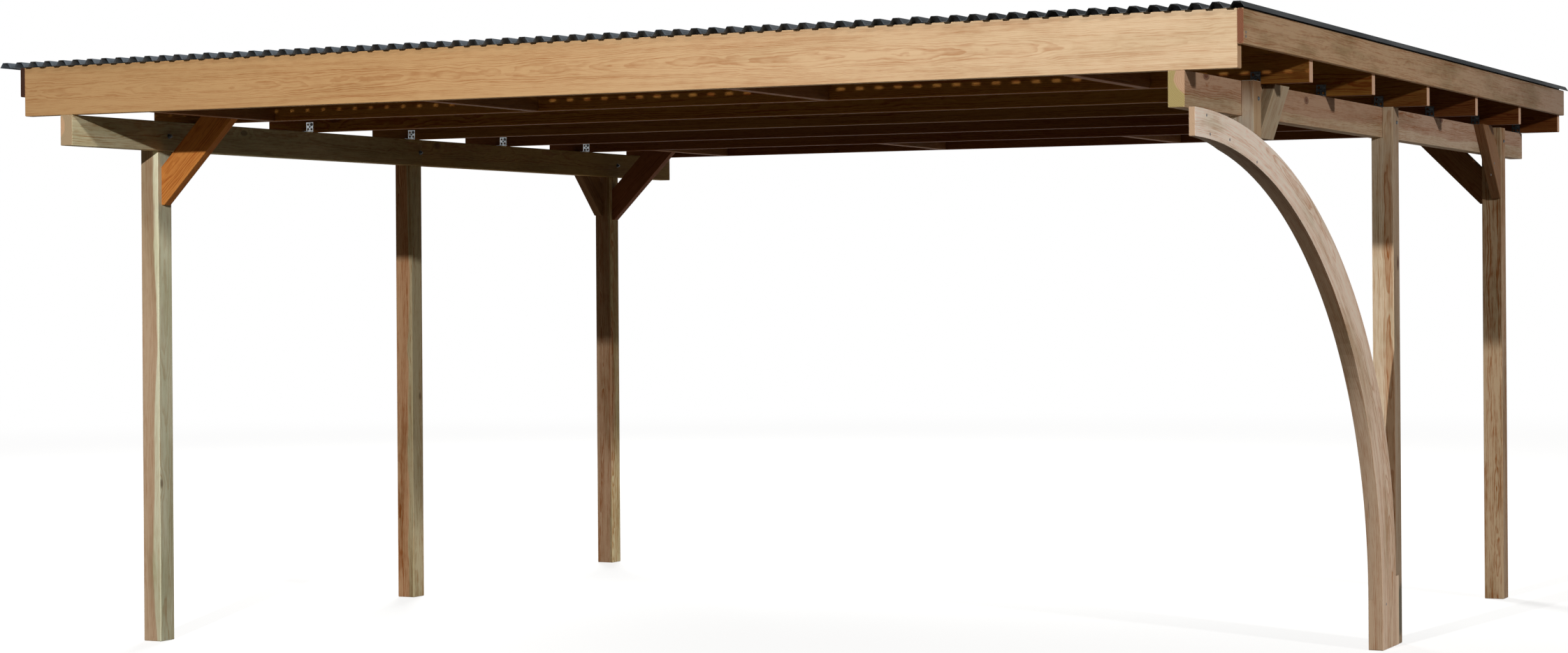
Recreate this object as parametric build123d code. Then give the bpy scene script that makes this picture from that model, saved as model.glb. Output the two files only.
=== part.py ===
"""A double carport of squared timber, open on all sides, under a flat roof of ribbed steel sheets.

The frame has X to the right along the front, Y to the back and Z up, with the ground at zero.
Three posts carry the left purlin. On the right a curved entry arch takes the place of the front
post: it springs from the ground at the middle post, rises to the front and carries a short stub.
"""
import math
import os

from build123d import *

# Posts
POST_THICK = 90
POST_SPACING = 1922
POST_OUTER_WIDTH = 4892
HEAD_TONGUE = 45
CLEAR_HEIGHT = 2085
STUB_SETBACK = 47

# Purlins, which lie along the depth in the notched heads of the posts
PURLIN_THICK = 60
PURLIN_HEIGHT = 125
PURLIN_FRONT_OVERHANG = 568
PURLIN_BACK_OVERHANG = 558
PURLIN_JOINT_SETBACK = 75

# Rafters, which cross the purlins
RAFTER_THICK = 45
RAFTER_HEIGHT = 200
RAFTER_COUNT = 7
RAFTER_SIDE_OVERHANG = 139
RAFTER_BACK_SETBACK = 17

# Boards nailed on the rafters' ends
SIDE_BOARD_THICK = 23
SIDE_BOARD_HEIGHT = 120

# Knee braces
BRACE_THICK = 45
BRACE_WIDTH = 125
BRACE_TOE = 14
SIDE_BRACE_DROP = 222
CROSS_BRACE_REACH = 370

# Noggings, which stand between two rafters
NOGGING_THICK = 45

# Entry arch
ARCH_THICK = 60
ARCH_NOSE = 28
ARCH_END_DEPTH = 100
ARCH_FOOT_DEPTH = 206
ARCH_OUTER_SPRING = 294
ARCH_INNER_SPRING = 202
ARCH_BEVEL_LENGTH = 420
ARCH_BEVEL_LEFT = 22
ARCH_HEEL_DEPTH = 45
ARCH_HEEL_HEIGHT = 285

# Roof sheets
SHEET_THICK = 1
SHEET_COUNT = 5
SHEET_STEP_RIBS = 14
SHEET_LAP_GAP = 0.3
SHEET_FRONT_OVERHANG = 30
SHEET_BACK_OVERHANG = 30
SHEET_LEFT_OVERHANG = 80
SHEET_RIGHT_OVERHANG = 12
RIB_COUNT = 73
RIB_HEIGHT = 20
RIB_CROWN = 24
RIB_FLANK = 14

# Angle brackets that hold the rafters on the purlins
BRACKET_LEG = 45
BRACKET_WIDTH = 38
BRACKET_THICK = 2.5
BRACKET_SHIFT = 15

# Levels
PURLIN_TOP = CLEAR_HEIGHT + PURLIN_HEIGHT
RAFTER_TOP = PURLIN_TOP + RAFTER_HEIGHT

# Places along the depth, with zero midway between the purlins' ends
PURLIN_LENGTH = PURLIN_FRONT_OVERHANG + 2 * POST_SPACING + POST_THICK + PURLIN_BACK_OVERHANG
PURLIN_FRONT = -PURLIN_LENGTH / 2
PURLIN_BACK = PURLIN_LENGTH / 2
FRONT_POST_Y = PURLIN_FRONT + PURLIN_FRONT_OVERHANG
MIDDLE_POST_Y = FRONT_POST_Y + POST_SPACING
BACK_POST_Y = MIDDLE_POST_Y + POST_SPACING
STUB_Y = FRONT_POST_Y + STUB_SETBACK
PURLIN_JOINT_Y = MIDDLE_POST_Y + PURLIN_JOINT_SETBACK
RAFTER_BACK = PURLIN_BACK - RAFTER_BACK_SETBACK
RAFTER_SPACING = (RAFTER_BACK - RAFTER_THICK - PURLIN_FRONT) / (RAFTER_COUNT - 1)

# Distances across the width, to both sides of the middle of the frame
POST_OUTER = POST_OUTER_WIDTH / 2
POST_INNER = POST_OUTER - POST_THICK
PURLIN_OUTER = POST_OUTER - HEAD_TONGUE
PURLIN_INNER = PURLIN_OUTER - PURLIN_THICK
RAFTER_END = POST_OUTER + RAFTER_SIDE_OVERHANG
SIDE_BOARD_OUTER = RAFTER_END + SIDE_BOARD_THICK

OUTER_NOGGING = POST_INNER - CROSS_BRACE_REACH - NOGGING_THICK / 2

# The roof reaches further out on the left, and zero across the width is the roof's middle
ROOF_WIDTH = SHEET_LEFT_OVERHANG + 2 * SIDE_BOARD_OUTER + SHEET_RIGHT_OVERHANG
FRAME_MIDDLE = (SHEET_LEFT_OVERHANG - SHEET_RIGHT_OVERHANG) / 2
RIB_FOOT = RIB_CROWN + 2 * RIB_FLANK
RIB_PITCH = (ROOF_WIDTH - RIB_FOOT) / (RIB_COUNT - 1)

LEFT, RIGHT = -1, 1
QUARTER_TURN = 90

# The first rafter with a bracket on each side, counted from zero at the front
FIRST_BRACKET = {LEFT: 2, RIGHT: 1}


def across(side, *distances):
    """The X coordinates at distances from the frame's middle, out to one side."""
    return tuple(FRAME_MIDDLE + side * distance for distance in distances)


def block(x, y, z):
    """A squared piece between two coordinates on each axis, given in either order."""
    lows = [min(pair) for pair in (x, y, z)]
    sizes = [abs(pair[1] - pair[0]) for pair in (x, y, z)]
    return Pos(*lows) * Box(*sizes, align=(Align.MIN, Align.MIN, Align.MIN))


def polygon_face(plane, points):
    """A flat face on a plane from its corner points."""
    return make_face(plane * Polyline(*points, close=True))


def post_head(side, y, foot):
    """A post from a level up to the purlin's top, notched on its inner side for the purlin."""
    depth = (y, y + POST_THICK)
    post = block(across(side, POST_INNER, POST_OUTER), depth, (foot, PURLIN_TOP))
    return post - block(across(side, POST_INNER, PURLIN_OUTER), depth, (CLEAR_HEIGHT, PURLIN_TOP))


def purlin(side, start, end):
    """One length of a purlin."""
    return block(across(side, PURLIN_INNER, PURLIN_OUTER), (start, end), (CLEAR_HEIGHT, PURLIN_TOP))


def rafter_y(index):
    """The front face of a rafter, counted from zero at the front."""
    return PURLIN_FRONT + index * RAFTER_SPACING


def rafter(index):
    """One rafter, from side board to side board."""
    y = rafter_y(index)
    return block(across(RIGHT, -RAFTER_END, RAFTER_END), (y, y + RAFTER_THICK), (PURLIN_TOP, RAFTER_TOP))


def side_board(side):
    """The board on the rafters' ends, flush with their tops."""
    return block(
        across(side, RAFTER_END, SIDE_BOARD_OUTER),
        (PURLIN_FRONT, RAFTER_BACK),
        (RAFTER_TOP - SIDE_BOARD_HEIGHT, RAFTER_TOP),
    )


# The height of a brace at 45 degrees, measured plumb
BRACE_RISE = BRACE_WIDTH * math.sqrt(2)


def cross_brace_points():
    """Corners of a cross brace: distance out from the post, and height. Its top is cut plumb."""
    foot = PURLIN_TOP - CROSS_BRACE_REACH
    return [
        (0, foot + BRACE_TOE),
        (BRACE_TOE, foot + BRACE_TOE),
        (CROSS_BRACE_REACH, PURLIN_TOP),
        (CROSS_BRACE_REACH, PURLIN_TOP + BRACE_RISE),
        (0, foot + BRACE_RISE),
    ]


def side_brace_points():
    """Corners of a side brace: distance out from the post, and height. Its top is cut level."""
    foot = CLEAR_HEIGHT - SIDE_BRACE_DROP
    reach = PURLIN_TOP - foot
    return [
        (0, foot + BRACE_TOE),
        (BRACE_TOE, foot + BRACE_TOE),
        (reach, PURLIN_TOP),
        (reach - BRACE_RISE, PURLIN_TOP),
        (0, foot + BRACE_RISE),
    ]


def cross_brace(side, post_y):
    """A brace from a post's inner face up and inwards to the outer nogging."""
    points = [(*across(side, POST_INNER - out), z) for out, z in cross_brace_points()]
    front = post_y + (POST_THICK - BRACE_THICK) / 2
    face = polygon_face(Plane.XZ, points)
    return Pos(0, front, 0) * extrude(face, amount=BRACE_THICK, dir=(0, 1, 0))


def side_brace(side, face_y, direction):
    """A brace along the depth, in the plane of the post's tongue, up beside the purlin."""
    points = [(face_y + direction * out, z) for out, z in side_brace_points()]
    face = polygon_face(Plane.YZ, points)
    tongue = across(side, PURLIN_OUTER, PURLIN_OUTER + BRACE_THICK)
    return Pos(min(tongue), 0, 0) * extrude(face, amount=BRACE_THICK, dir=(1, 0, 0))


def stub_brace():
    """The side brace behind the stub, cut level over the arch."""
    face_y = STUB_Y + POST_THICK
    tongue = across(RIGHT, PURLIN_OUTER, PURLIN_OUTER + BRACE_THICK)
    brace = side_brace(RIGHT, face_y, 1)
    return brace - block(tongue, (face_y, face_y + PURLIN_LENGTH), (0, ARCH_BACK_AT_STUB))


def nogging(distance, bay):
    """A piece as high as the rafters, between two of them, counted from zero at the front."""
    return block(
        across(RIGHT, distance - NOGGING_THICK / 2, distance + NOGGING_THICK / 2),
        (rafter_y(bay) + RAFTER_THICK, rafter_y(bay + 1)),
        (PURLIN_TOP, RAFTER_TOP),
    )


def arch_curve_level(y, reach, spring, crown):
    """The height of one of the arch's quarter ellipses at a place along the depth."""
    share = (y - (PURLIN_FRONT - ARCH_NOSE)) / reach
    return spring + (crown - spring) * math.sqrt(1 - share * share)


ARCH_FRONT = PURLIN_FRONT - ARCH_NOSE
ARCH_OUTER_REACH = MIDDLE_POST_Y - ARCH_FRONT
ARCH_INNER_REACH = ARCH_OUTER_REACH - ARCH_FOOT_DEPTH
ARCH_END_LEVEL = CLEAR_HEIGHT - ARCH_END_DEPTH


def arch_back_edges():
    """The arch's outer outline: a quarter ellipse, then straight down beside the middle post."""
    curve = EllipticalCenterArc(
        (ARCH_FRONT, ARCH_OUTER_SPRING), ARCH_OUTER_REACH, CLEAR_HEIGHT - ARCH_OUTER_SPRING,
        arc_size=QUARTER_TURN,
    )
    drop = Line((MIDDLE_POST_Y, 0), (MIDDLE_POST_Y, ARCH_OUTER_SPRING))
    return [drop, curve]


def arch_heel():
    """The block at the back of the arch's foot, which is let into the right middle post."""
    return block(
        across(RIGHT, POST_OUTER - ARCH_THICK, POST_OUTER),
        (MIDDLE_POST_Y, MIDDLE_POST_Y + ARCH_HEEL_DEPTH),
        (0, ARCH_HEEL_HEIGHT),
    )


def entry_arch():
    """The curved entry arch, with its foot in front of the right middle post."""
    foot_front = MIDDLE_POST_Y - ARCH_FOOT_DEPTH
    soffit = EllipticalCenterArc(
        (ARCH_FRONT, ARCH_INNER_SPRING), ARCH_INNER_REACH, ARCH_END_LEVEL - ARCH_INNER_SPRING,
        arc_size=QUARTER_TURN,
    )
    outline = arch_back_edges() + [
        Line((ARCH_FRONT, CLEAR_HEIGHT), (ARCH_FRONT, ARCH_END_LEVEL)),
        soffit,
        Line((foot_front, ARCH_INNER_SPRING), (foot_front, 0)),
        Line((foot_front, 0), (MIDDLE_POST_Y, 0)),
    ]
    inner_x, end_x = across(RIGHT, POST_OUTER - ARCH_THICK, POST_OUTER - ARCH_BEVEL_LEFT)
    face = make_face(Plane.YZ * (Curve() + outline))
    arch = Pos(inner_x, 0, 0) * extrude(face, amount=ARCH_THICK, dir=(1, 0, 0))
    bevel_points = [
        (inner_x, ARCH_FRONT),
        (end_x, ARCH_FRONT),
        (inner_x, ARCH_FRONT + ARCH_BEVEL_LENGTH),
    ]
    bevel = extrude(polygon_face(Plane.XY, bevel_points), amount=CLEAR_HEIGHT, dir=(0, 0, 1))
    return arch - bevel + arch_heel()


def space_under_arch_back():
    """All below the arch's outer outline, as wide as a post, to cut what stands on it."""
    outline = arch_back_edges() + [
        Line((ARCH_FRONT, CLEAR_HEIGHT), (ARCH_FRONT, 0)),
        Line((ARCH_FRONT, 0), (MIDDLE_POST_Y, 0)),
    ]
    face = make_face(Plane.YZ * (Curve() + outline))
    return Pos(*across(RIGHT, POST_INNER), 0, 0) * extrude(face, amount=POST_THICK, dir=(1, 0, 0))


def front_stub():
    """The top of the right front post, which stands on the arch's back."""
    return post_head(RIGHT, STUB_Y, ARCH_OUTER_SPRING) - space_under_arch_back()


ARCH_BACK_AT_STUB = arch_curve_level(
    STUB_Y + POST_THICK, ARCH_OUTER_REACH, ARCH_OUTER_SPRING, CLEAR_HEIGHT
)


def bracket(side, index):
    """An angle bracket, one leg on the purlin's top and one up the rafter's front face."""
    (purlin_middle,) = across(side, (PURLIN_INNER + PURLIN_OUTER) / 2)
    middle = purlin_middle + BRACKET_SHIFT
    face = rafter_y(index)
    x = (middle - BRACKET_WIDTH / 2, middle + BRACKET_WIDTH / 2)
    upright = block(x, (face - BRACKET_THICK, face), (PURLIN_TOP, PURLIN_TOP + BRACKET_LEG))
    flat = block(x, (face - BRACKET_LEG, face), (PURLIN_TOP, PURLIN_TOP + BRACKET_THICK))
    return upright + flat


def roof_sheet(index):
    """One ribbed steel sheet along the depth. Its first rib lies over its left neighbour's last one."""
    first = index * SHEET_STEP_RIBS
    last = RIB_COUNT - 1 if index == SHEET_COUNT - 1 else first + SHEET_STEP_RIBS
    lower = []
    for rib in range(first, last + 1):
        x = rib * RIB_PITCH - ROOF_WIDTH / 2
        lift = SHEET_THICK + SHEET_LAP_GAP if index > 0 and rib == first else 0
        lower += [
            (x, lift),
            (x + RIB_FLANK, lift + RIB_HEIGHT),
            (x + RIB_FLANK + RIB_CROWN, lift + RIB_HEIGHT),
            (x + RIB_FOOT, lift),
        ]
    upper = [(x, z + SHEET_THICK) for x, z in reversed(lower)]
    face = polygon_face(Plane.XZ, lower + upper)
    front = PURLIN_FRONT - SHEET_FRONT_OVERHANG
    length = PURLIN_LENGTH + SHEET_FRONT_OVERHANG + SHEET_BACK_OVERHANG
    return Pos(0, front, RAFTER_TOP) * extrude(face, amount=length, dir=(0, 1, 0))


def carport():
    """All pieces by name."""
    names = {LEFT: "left", RIGHT: "right"}
    pieces = {}
    for name, side, y in (
        ("left_front_post", LEFT, FRONT_POST_Y),
        ("left_middle_post", LEFT, MIDDLE_POST_Y),
        ("left_back_post", LEFT, BACK_POST_Y),
        ("right_back_post", RIGHT, BACK_POST_Y),
    ):
        pieces[name] = post_head(side, y, 0)
    pieces["right_middle_post"] = post_head(RIGHT, MIDDLE_POST_Y, 0) - arch_heel()
    pieces["right_front_stub"] = front_stub()
    pieces["entry_arch"] = entry_arch()
    for side, name in names.items():
        pieces[f"{name}_purlin_front"] = purlin(side, PURLIN_FRONT, PURLIN_JOINT_Y)
        pieces[f"{name}_purlin_back"] = purlin(side, PURLIN_JOINT_Y, PURLIN_BACK)
        pieces[f"{name}_side_board"] = side_board(side)
        brackets = [bracket(side, index) for index in range(FIRST_BRACKET[side], RAFTER_COUNT)]
        pieces[f"{name}_rafter_brackets"] = Compound(children=brackets)
        pieces[f"{name}_back_cross_brace"] = cross_brace(side, BACK_POST_Y)
        pieces[f"{name}_back_side_brace"] = side_brace(side, BACK_POST_Y, -1)
    pieces["left_front_cross_brace"] = cross_brace(LEFT, FRONT_POST_Y)
    pieces["left_front_side_brace"] = side_brace(LEFT, FRONT_POST_Y + POST_THICK, 1)
    pieces["right_front_side_brace"] = stub_brace()
    distances = (-OUTER_NOGGING, -OUTER_NOGGING / 3, OUTER_NOGGING / 3, OUTER_NOGGING)
    for number, distance in enumerate(distances, start=1):
        pieces[f"front_nogging_{number}"] = nogging(distance, 0)
        pieces[f"back_nogging_{number}"] = nogging(distance, RAFTER_COUNT - 2)
    for index in range(RAFTER_COUNT):
        pieces[f"rafter_{index + 1}"] = rafter(index)
    for index in range(SHEET_COUNT):
        pieces[f"roof_sheet_{index + 1}"] = roof_sheet(index)
    return pieces


def main():
    """Write every piece to its own file."""
    os.makedirs("parts", exist_ok=True)
    for name, piece in carport().items():
        export_step(piece, f"parts/{name}.step")


if __name__ == "__main__":
    main()
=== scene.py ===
"""The looks of a double timber carport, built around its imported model."""

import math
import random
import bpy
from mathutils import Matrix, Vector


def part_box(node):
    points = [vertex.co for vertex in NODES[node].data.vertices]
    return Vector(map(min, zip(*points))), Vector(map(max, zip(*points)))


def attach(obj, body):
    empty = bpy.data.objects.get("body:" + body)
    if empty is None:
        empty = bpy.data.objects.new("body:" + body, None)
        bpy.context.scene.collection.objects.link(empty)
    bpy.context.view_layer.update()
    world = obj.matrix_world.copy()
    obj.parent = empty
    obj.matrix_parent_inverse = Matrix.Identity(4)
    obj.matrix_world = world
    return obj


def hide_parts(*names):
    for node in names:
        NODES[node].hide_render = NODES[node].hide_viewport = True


bl_info = {
    "name": "Timber carport",
    "version": (1, 0, 0),
    "blender": (4, 5, 0),
    "location": "View3D > Sidebar > Carport",
    "description": "Dresses the packed frame of a double carport in timber, steel and fasteners",
    "category": "Add Mesh",
}

from dataclasses import dataclass

import bmesh
import bpy
from bpy.props import FloatProperty, FloatVectorProperty, IntProperty, PointerProperty
from mathutils import Matrix, Vector
from mathutils.geometry import delaunay_2d_cdt

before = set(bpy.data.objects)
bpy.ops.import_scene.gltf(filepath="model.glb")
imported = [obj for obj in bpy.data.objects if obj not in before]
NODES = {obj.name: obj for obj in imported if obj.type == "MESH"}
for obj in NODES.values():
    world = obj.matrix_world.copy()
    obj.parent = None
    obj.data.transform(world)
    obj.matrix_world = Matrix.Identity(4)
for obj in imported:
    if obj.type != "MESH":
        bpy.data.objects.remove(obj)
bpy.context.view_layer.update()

WIDE = (1, 0, 0)
DEEP = (0, 1, 0)
UP = (0, 0, 1)

# Names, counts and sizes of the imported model, in metres
SIDES = ("left", "right")
RAFTER_COUNT = 7
SHEET_COUNT = 5
SHEET_THICK = 0.001
RIB_PITCH = 0.073
RIB_FOOT = 0.052
BRACE_WIDTH = 0.125
BRACKET_THICK = 0.0025
BOLTED = (
    "left_front_post", "left_middle_post", "left_back_post",
    "right_front_stub", "right_middle_post", "right_back_post",
)

# The line in the middle of the entry arch, a quarter of an ellipse over a straight foot,
# with its reach along the grain and half its depth and thickness
ARCH_FRONT = -2.558
ARCH_MIDDLE_REACH = 2.415
ARCH_MIDDLE_RISE = 1.787
ARCH_MIDDLE_SPRING = 0.248
ARCH_MEAN_RADIUS = 2.1
ARCH_HALF = (3.3, 0.1, 0.03)

# Finer sizes that only the looks have. A bracket's holes are given as shares of its width, its
# height and the usual hole, and its zinc by a name, how metallic it is and how bright. The left
# brackets' zinc is made very bright as painted light, and the right ones' very dark as painted shade
BOLT_ASIDE = 0.012
BEVEL_STEPS = 2
SAME_CORNER = 0.00005
HOLE_SIDES = 14
BRACKET_HOLES = ((0.25, 0.3, 1), (0.75, 0.3, 1), (0.5, 0.53, 0.6), (0.25, 0.76, 1), (0.75, 0.76, 1))
BRACKET_LOOKS = {"left": ("zinc with painted light", 0.8, 2.3), "right": ("zinc with painted shade", 0.2, 0.1)}

# Places of the timber screws: back from the back end of the brace, or else from the front end, and up
BRACE_SCREWS = ((0.2, 0.105), (0.135, 0.16))
ARCH_SCREWS = ((0.123, 2.061), (0.159, 1.998), (0.372, 1.988), (0.68, 1.921), (2.366, 0.184))
BOARD_SCREWS = ((0.024, 0.025), (0.024, 0.039))

# Tints of the rafters behind the first, from the front to the back, darker toward the back as painted shade
RAFTER_TINTS = (
    (1.5, 1.55, 1.2),
    (1.4, 1.5, 1.1),
    (1.1, 1.15, 1.0),
    (0.8, 0.7, 0.7),
    (0.8, 0.66, 0.6),
    (0.75, 0.6, 0.5),
)

# The photograph's own view: level, a long lens, the horizon above the middle. Turn and roll are
# in radians, the lens in millimetres and the shift in shares of the picture's width
CAMERA_PLACE = (5.6759, -12.0503, 1.5)
CAMERA_TURN = 0.4625
CAMERA_ROLL = -0.0070
CAMERA_LENS = 68.15
CAMERA_SHIFT = (-0.00045, -0.02713)


def tone(code):
    """A colour written as six hex digits, as the linear numbers that the shaders use."""
    shares = [int(code[place:place + 2], 16) / 255 for place in (0, 2, 4)]
    return tuple(s / 12.92 if s <= 0.04045 else ((s + 0.055) / 1.055) ** 2.4 for s in shares)


def colour_setting(name, description, code):
    """A colour that shows in the panel."""
    return FloatVectorProperty(
        name=name, description=description, default=tone(code),
        subtype="COLOR", size=3, min=0, max=1,
    )


def length_setting(name, description, metres):
    """A length that shows in the panel."""
    return FloatProperty(name=name, description=description, default=metres, min=0, unit="LENGTH")


def power_setting(name, description, watts):
    """A lamp's power, which shows in the panel."""
    return FloatProperty(name=name, description=description, default=watts, min=0, unit="POWER")


class CarportTimber(bpy.types.PropertyGroup):
    """Colours and sizes of the timber's finish."""
    arris: length_setting("Rounded arris", "Radius on the long edges of each timber", 0.003)
    growth_ring: length_setting("Growth ring", "Usual distance between two growth rings", 0.0055)
    # Partly painted light: the front rafter's left end is darker, standing for the light falling off there
    front_left: colour_setting("Front rafter, left", "Golden pine at the front rafter's left end", "B79164")
    front_right: colour_setting("Front rafter, right", "Cream pine at its right end", "D2B897")
    # Partly painted shade: the other rafters' dark brown stands for the deep shade under the roof
    rafter_colour: colour_setting("Other rafters", "Brown treated pine under the roof", "84582C")
    sapwood: colour_setting("Sapwood", "Green-grey outer wood of the posts and purlins", "BDB48E")
    heartwood: colour_setting("Heartwood", "Pinkish brown wood near the pith", "C9A582")
    board_colour: colour_setting("Side boards", "Pinkish brown side boards", "BA9774")
    brace_colour: colour_setting("Braces", "Treated pine of the braces", "AE8F6E")
    orange_colour: colour_setting("Orange brace", "The front cross brace", "CC8440")
    arch_colour: colour_setting("Entry arch", "Pale planed pine of the arch", "DDC4AE")


class CarportSteel(bpy.types.PropertyGroup):
    """Colours and sizes of the steel."""
    sheet_colour: colour_setting("Roof sheets", "Blue-grey coating of the sheets", "4A545D")
    zinc_colour: colour_setting("Zinc", "Galvanised brackets, bolts and screws", "A4A8AA")
    bolt_head: length_setting("Bolt head", "Radius of a carriage bolt's head", 0.008)
    washer: length_setting("Washer", "Radius of a bolt's washer", 0.0105)
    screw_head: length_setting("Screw head", "Radius of a timber screw's head", 0.0055)
    roof_washer: length_setting("Roof washer", "Radius of a roof screw's washer", 0.008)
    bracket_hole: length_setting("Bracket hole", "Radius of the larger holes in a bracket", 0.0055)
    ribs_between: IntProperty(
        name="Ribs between screws", description="Ribs from one roof screw to the next",
        default=4, min=1, max=20,
    )


class CarportStage(bpy.types.PropertyGroup):
    """The floor, the lamps and the camera."""
    floor_colour: colour_setting("Floor", "Plain pale floor", "F2F2F0")
    floor_size: length_setting("Floor size", "Length of the floor's sides", 160.0)
    key_power: power_setting("Front lamp", "Power of the front lamp", 680)
    side_power: power_setting("Side lamp", "Power of the side lamp", 2900)
    back_power: power_setting("Back lamp", "Power of the soft back lamp", 1500)
    sky: FloatProperty(
        name="Sky", description="Strength of the even light all round", default=0.088, min=0,
    )


class Recipe:
    """The nodes of one material or node group, each added and linked in one line."""

    def __init__(self, tree):
        self.tree = tree

    def plug(self, socket, value):
        """Links a socket, or sets a plain value."""
        if isinstance(value, bpy.types.NodeSocket):
            self.tree.links.new(value, socket)
        else:
            socket.default_value = value

    def add(self, kind, inputs, **settings):
        """A node with its settings and its inputs by name or place."""
        node = self.tree.nodes.new(kind)
        for key, value in settings.items():
            setattr(node, key, value)
        for key, value in inputs.items():
            self.plug(node.inputs[key], value)
        return node

    def math(self, operation, *values, clamp=False):
        """One arithmetic step."""
        inputs = dict(enumerate(values))
        return self.add("ShaderNodeMath", inputs, operation=operation, use_clamp=clamp).outputs[0]

    def vector(self, operation, *values):
        """One step with vectors. Its result is a vector."""
        inputs = dict(enumerate(values))
        return self.add("ShaderNodeVectorMath", inputs, operation=operation).outputs["Vector"]

    def measure(self, operation, *values):
        """One step with vectors. Its result is a number."""
        inputs = dict(enumerate(values))
        return self.add("ShaderNodeVectorMath", inputs, operation=operation).outputs["Value"]

    def scaled(self, value, factor):
        """A vector made longer or shorter."""
        inputs = {"Vector": value, "Scale": factor}
        return self.add("ShaderNodeVectorMath", inputs, operation="SCALE").outputs["Vector"]

    def parts(self, value):
        """The three parts of a vector."""
        return self.add("ShaderNodeSeparateXYZ", {0: value}).outputs

    def place(self):
        """Where on the object a point lies, in metres."""
        return self.add("ShaderNodeTexCoord", {}).outputs["Object"]

    def facing(self):
        """The direction in which the face itself looks."""
        return self.add("ShaderNodeNewGeometry", {}).outputs["True Normal"]

    def join(self, x, y, z):
        """A vector from three parts."""
        return self.add("ShaderNodeCombineXYZ", {0: x, 1: y, 2: z}).outputs[0]

    def noise(self, place, detail=2.0, roughness=0.5, scale=1.0):
        """Soft noise as a node, with a number and a colour as outputs."""
        inputs = {"Vector": place, "Scale": scale, "Detail": detail, "Roughness": roughness}
        return self.add("ShaderNodeTexNoise", inputs)

    def ramp(self, value, low, high, start=0.0, end=1.0):
        """A smooth step of a number from start at low to end at high."""
        inputs = {0: value, 1: low, 2: high, 3: start, 4: end}
        return self.add("ShaderNodeMapRange", inputs, interpolation_type="SMOOTHSTEP").outputs[0]

    def mix(self, share, first, second, blend="MIX"):
        """Two colours mixed."""
        colours = [(*c, 1) if isinstance(c, tuple) and len(c) == 3 else c for c in (first, second)]
        inputs = {0: share, 6: colours[0], 7: colours[1]}
        return self.add("ShaderNodeMix", inputs, data_type="RGBA", blend_type=blend).outputs[2]

    def times(self, colour, tint):
        """A colour multiplied by a tint."""
        return self.mix(1.0, colour, tint, "MULTIPLY")


def new_material(name):
    """A material with its recipe and its shader, whose constants are set on its own sockets."""
    material = bpy.data.materials.new(name)
    material.use_nodes = True
    recipe = Recipe(material.node_tree)
    return material, recipe, material.node_tree.nodes["Principled BSDF"]


GRAIN_INPUTS = (
    ("Place", "NodeSocketVector"),
    ("Pith", "NodeSocketVector"),
    ("Half size", "NodeSocketVector"),
    ("Shift", "NodeSocketVector"),
    ("End", "NodeSocketFloat"),
    ("Sapwood", "NodeSocketColor"),
    ("Heartwood", "NodeSocketColor"),
    ("End grain", "NodeSocketColor"),
    ("Heart radius", "NodeSocketFloat"),
    ("Ring", "NodeSocketFloat"),
    ("Contrast", "NodeSocketFloat"),
    ("Flames", "NodeSocketFloat"),
    ("Knots", "NodeSocketFloat"),
    ("Knot size", "NodeSocketFloat"),
    ("Checks", "NodeSocketFloat"),
    ("Weather", "NodeSocketFloat"),
)
GRAIN_OUTPUTS = (
    ("Colour", "NodeSocketColor"),
    ("Roughness", "NodeSocketFloat"),
    ("Height", "NodeSocketFloat"),
)


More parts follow.
